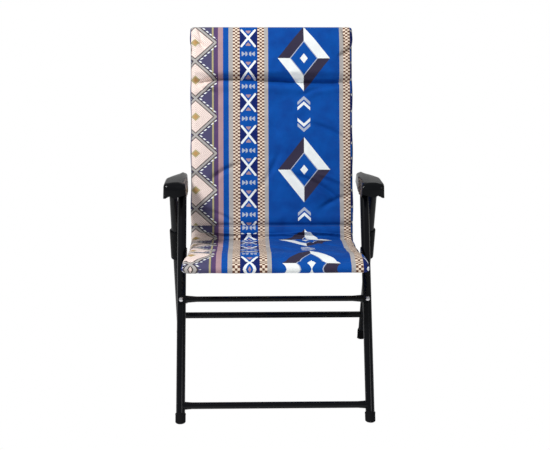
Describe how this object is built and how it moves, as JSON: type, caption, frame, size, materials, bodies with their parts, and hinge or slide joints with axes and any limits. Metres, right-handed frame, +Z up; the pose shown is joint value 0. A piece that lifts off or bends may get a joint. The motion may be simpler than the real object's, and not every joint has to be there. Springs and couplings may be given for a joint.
{
  "type": "camp rocking chair",
  "caption": "Folding camp rocking armchair: padded patterned sling on a black tube frame with moulded arms, straight feet and sprung telescoping rear legs.",
  "frame": {"origin": "on the floor, at the centre of the chair's outline from above", "axes": "+X to the right seen from the front, +Y from the front to the back, +Z up"},
  "size_m": [0.636, 0.7087, 0.9885],
  "materials": {
    "black_tube": "gloss powder coat",
    "arm_moulding": "gloss",
    "black_plastic": "satin",
    "foot_rubber": "matt",
    "rivet_steel": "plain",
    "sling_fabric": "printed woven polyester, padded"
  },
  "bodies": {
    "front_legs": {"front_leg_left": "black_tube", "front_leg_right": "black_tube", "front_foot_cap_left": "foot_rubber", "front_foot_cap_right": "foot_rubber", "leg_washer_left": "black_tube", "leg_washer_right": "black_tube", "front_leg_plug_left": "black_plastic", "front_leg_plug_right": "black_plastic", "seat_bracket_left": "black_tube", "seat_bracket_right": "black_tube", "front_upper_bar": "black_tube", "front_foot_bar": "black_tube", "bar_rivets": "rivet_steel", "leg_pins": "rivet_steel", "bracket_rivets": "rivet_steel"},
    "rear_legs": {"rear_leg_tube_left": "black_tube", "rear_leg_tube_right": "black_tube", "rear_collar_left": "black_plastic", "rear_collar_right": "black_plastic", "rear_leg_plug_left": "black_plastic", "rear_leg_plug_right": "black_plastic"},
    "rear_rods": {"rear_leg_rod_left": "black_tube", "rear_leg_rod_right": "black_tube", "rear_foot_cap_left": "foot_rubber", "rear_foot_cap_right": "foot_rubber", "rear_bar": "black_tube"},
    "seat": {"seat_rail_left": "black_tube", "seat_rail_right": "black_tube", "seat_hinge_plate_left": "black_tube", "seat_hinge_plate_right": "black_tube", "seat_front_bar": "black_tube", "seat_cross_bar": "black_tube", "seat_pad": "sling_fabric", "seat_pins": "rivet_steel"},
    "back": {"back_rail_left": "black_tube", "back_rail_right": "black_tube", "back_hinge_plate_left": "black_tube", "back_hinge_plate_right": "black_tube", "back_top_bar": "black_tube", "back_lower_bar": "black_tube", "back_pad": "sling_fabric", "headrest_pad": "sling_fabric", "hinge_pins": "rivet_steel"},
    "arm_left": {"armrest_left": "arm_moulding"},
    "arm_right": {"armrest_right": "arm_moulding"}
  },
  "joints": [
    {"name": "seat_fold", "type": "hinge", "parent": "front_legs", "child": "seat", "pos_m": [0, -0.16014, 0.412], "axis": [1, 0, 0], "range_deg": [0, 76]},
    {"name": "back_fold", "type": "hinge", "parent": "seat", "child": "back", "pos_m": [0, 0.11986, 0.3608], "axis": [1, 0, 0], "range_deg": [0, 88]},
    {"name": "rear_leg_fold", "type": "hinge", "parent": "front_legs", "child": "rear_legs", "pos_m": [0, 0.00986, 0.568], "axis": [-1, 0, 0], "range_deg": [0, 48]},
    {"name": "rear_leg_spring", "type": "slide", "parent": "rear_legs", "child": "rear_rods", "axis": [0, -0.3633, 0.9317], "range_m": [0, 0.045], "stiffness_N_per_m": 5000, "springref_m": -0.03},
    {"name": "arm_left_lift", "type": "hinge", "parent": "front_legs", "child": "arm_left", "pos_m": [0, 0.00986, 0.568], "axis": [1, 0, 0], "range_deg": [0, 54]},
    {"name": "arm_right_lift", "type": "hinge", "parent": "front_legs", "child": "arm_right", "pos_m": [0, 0.00986, 0.568], "axis": [1, 0, 0], "range_deg": [0, 54]}
  ],
  "couplings": [
    {"joint": "back_fold", "follows": "seat_fold", "ratio": 1.1579},
    {"joint": "rear_leg_fold", "follows": "seat_fold", "ratio": 0.63158},
    {"joint": "arm_left_lift", "follows": "seat_fold", "ratio": 0.71053},
    {"joint": "arm_right_lift", "follows": "seat_fold", "ratio": 0.71053}
  ]
}
